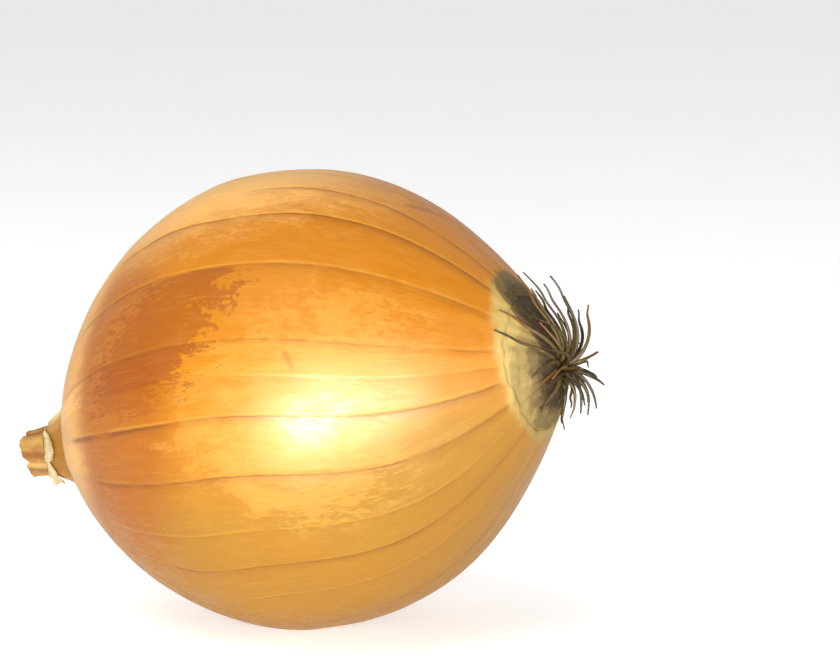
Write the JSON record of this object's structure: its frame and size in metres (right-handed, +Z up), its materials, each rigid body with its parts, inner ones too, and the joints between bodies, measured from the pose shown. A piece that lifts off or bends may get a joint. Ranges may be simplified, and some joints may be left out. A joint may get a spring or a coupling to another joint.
{
  "type": "onion",
  "caption": "Yellow onion lying on its side, with a torn papery neck, thin curls of torn skin and a tuft of dry roots on a round root plate.",
  "frame": {"origin": "middle of the small flat spot under the belly that the onion rests on", "axes": "+Z up; +X along the onion from its neck to its roots, which are raised; -Y is the front"},
  "size_m": [0.105, 0.0746, 0.0749],
  "materials": {
    "golden_skin": "dry outer skin with a satin gloss",
    "dried_neck": "dull, folded and fibrous",
    "torn_skin": "pale inside of the skin, matt",
    "root_plate": "rough and dull",
    "dry_root": "dry and dull"
  },
  "bodies": {
    "root": {"bulb": "golden_skin", "neck_stub": "dried_neck", "root_plate": "root_plate", "skin_curl_1": "torn_skin", "skin_curl_2": "torn_skin", "skin_curl_3": "torn_skin", "root_01": "dry_root", "root_02": "dry_root", "root_03": "dry_root", "root_04": "dry_root", "root_05": "dry_root", "root_06": "dry_root", "root_07": "dry_root", "root_08": "dry_root", "root_09": "dry_root", "root_10": "dry_root", "root_11": "dry_root", "root_12": "dry_root", "root_13": "dry_root", "root_14": "dry_root", "root_15": "dry_root", "root_16": "dry_root", "root_17": "dry_root", "root_18": "dry_root", "root_19": "dry_root", "root_20": "dry_root", "root_21": "dry_root", "root_22": "dry_root", "root_23": "dry_root", "root_24": "dry_root", "root_25": "dry_root", "root_26": "dry_root", "root_27": "dry_root", "root_28": "dry_root", "root_29": "dry_root", "root_30": "dry_root", "root_31": "dry_root", "root_32": "dry_root", "root_33": "dry_root", "root_34": "dry_root", "root_35": "dry_root", "root_36": "dry_root", "root_37": "dry_root", "root_38": "dry_root", "root_39": "dry_root", "root_40": "dry_root", "root_41": "dry_root", "root_42": "dry_root", "root_43": "dry_root", "root_44": "dry_root"}
  },
  "joints": []
}
